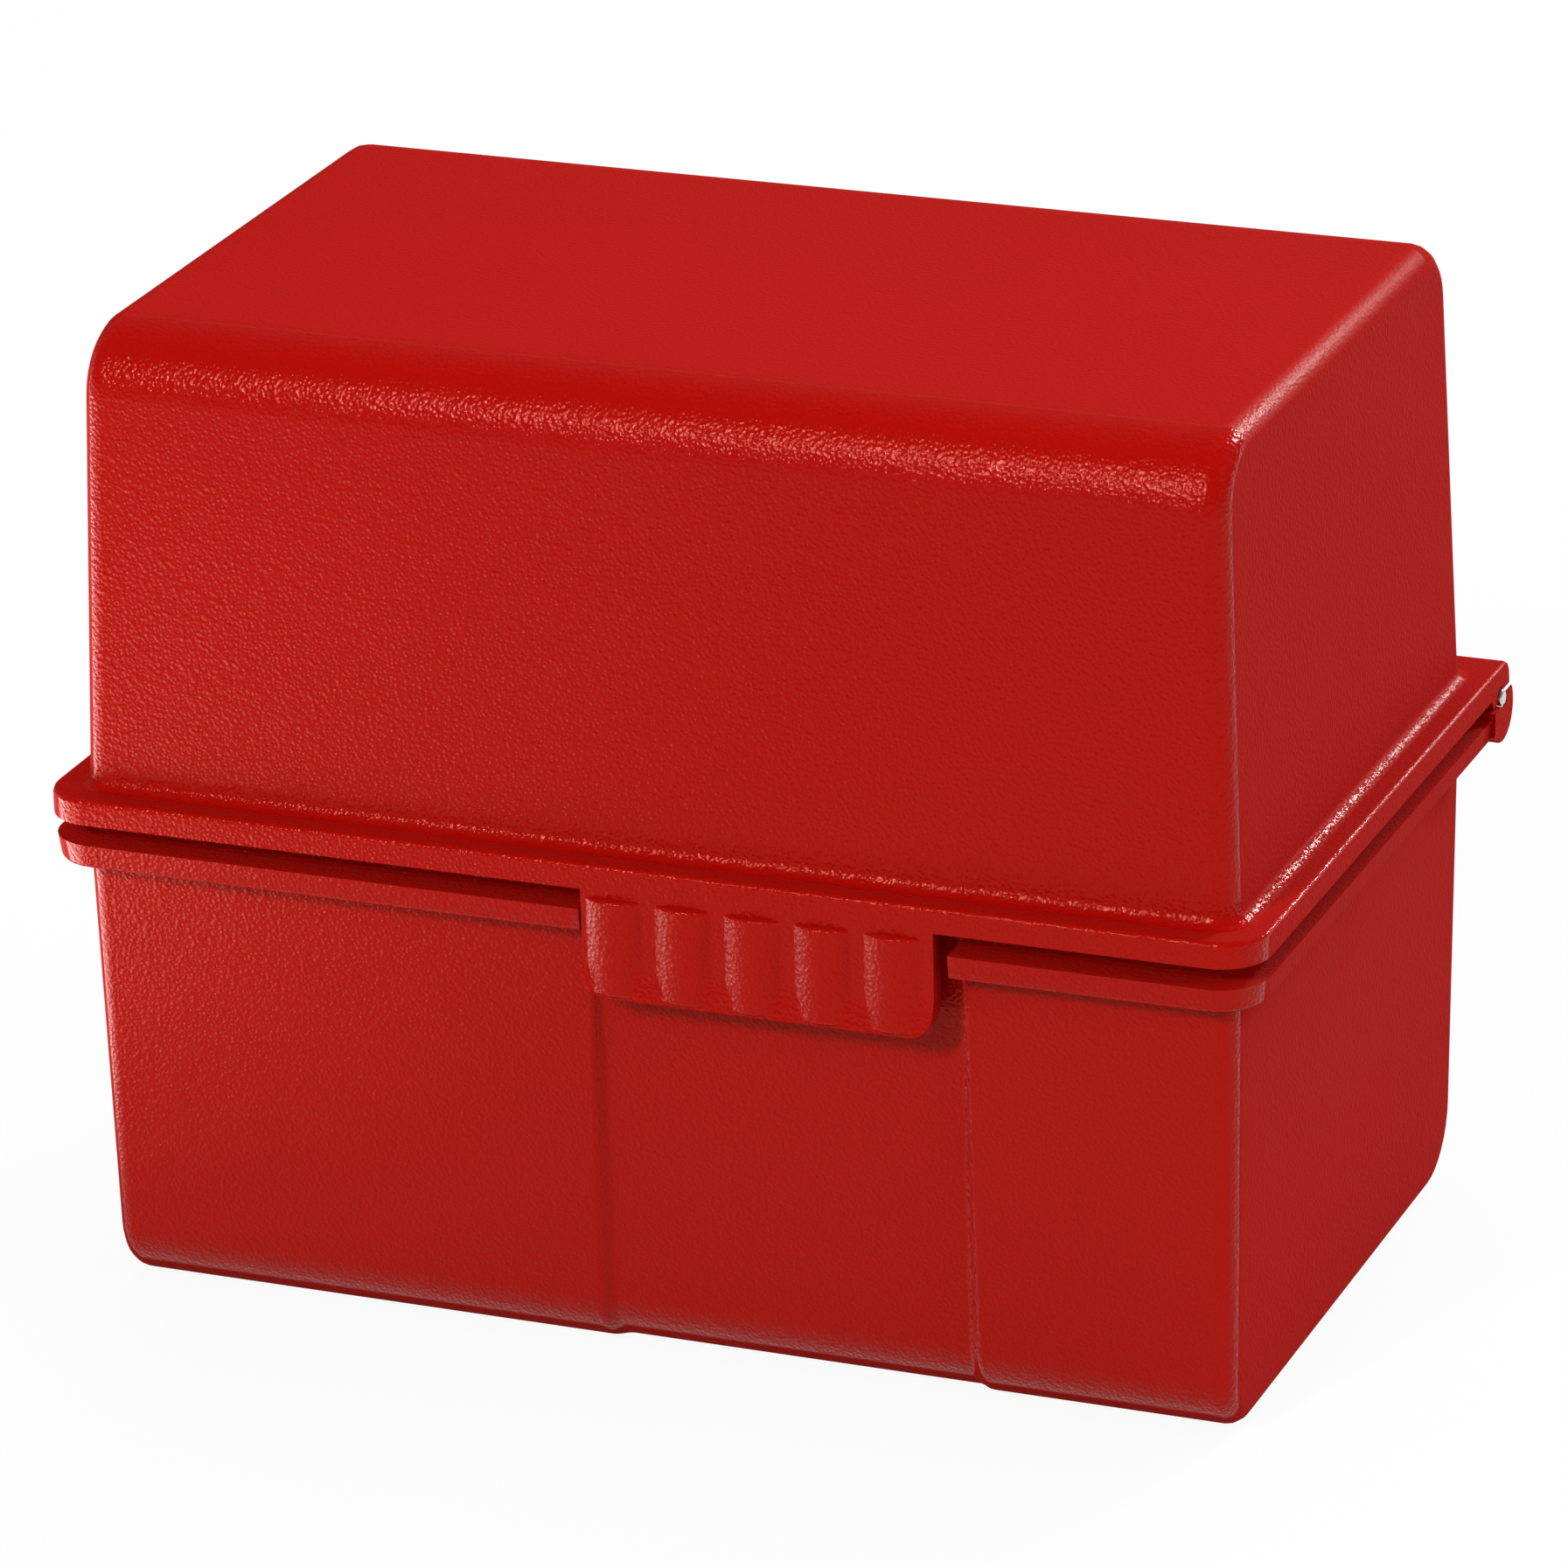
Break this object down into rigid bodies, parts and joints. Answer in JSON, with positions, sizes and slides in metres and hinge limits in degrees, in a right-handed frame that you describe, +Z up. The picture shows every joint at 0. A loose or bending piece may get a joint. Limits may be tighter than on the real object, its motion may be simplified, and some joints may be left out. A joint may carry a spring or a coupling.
{
  "type": "index card box",
  "caption": "Upright plastic box for A6 index cards with a hinged tapered lid and a ribbed grip tab at the front.",
  "frame": {"origin": "centre of the closed box's bounding box on its underside", "axes": "+X along the hinge pin to the box's right seen from the front, +Y from the front to the hinge, +Z up"},
  "size_m": [0.166, 0.1074, 0.1322],
  "materials": {
    "red_plastic": "fine leather grain with a satin gloss",
    "steel": "drawn"
  },
  "bodies": {
    "base": {"base": "red_plastic", "hinge_pin": "steel"},
    "lid": {"lid": "red_plastic"}
  },
  "joints": [
    {"name": "lid_hinge", "type": "hinge", "parent": "base", "child": "lid", "pos_m": [0, 0.0492, 0.0666], "axis": [-1, 0, 0], "range_deg": [0, 92]}
  ]
}
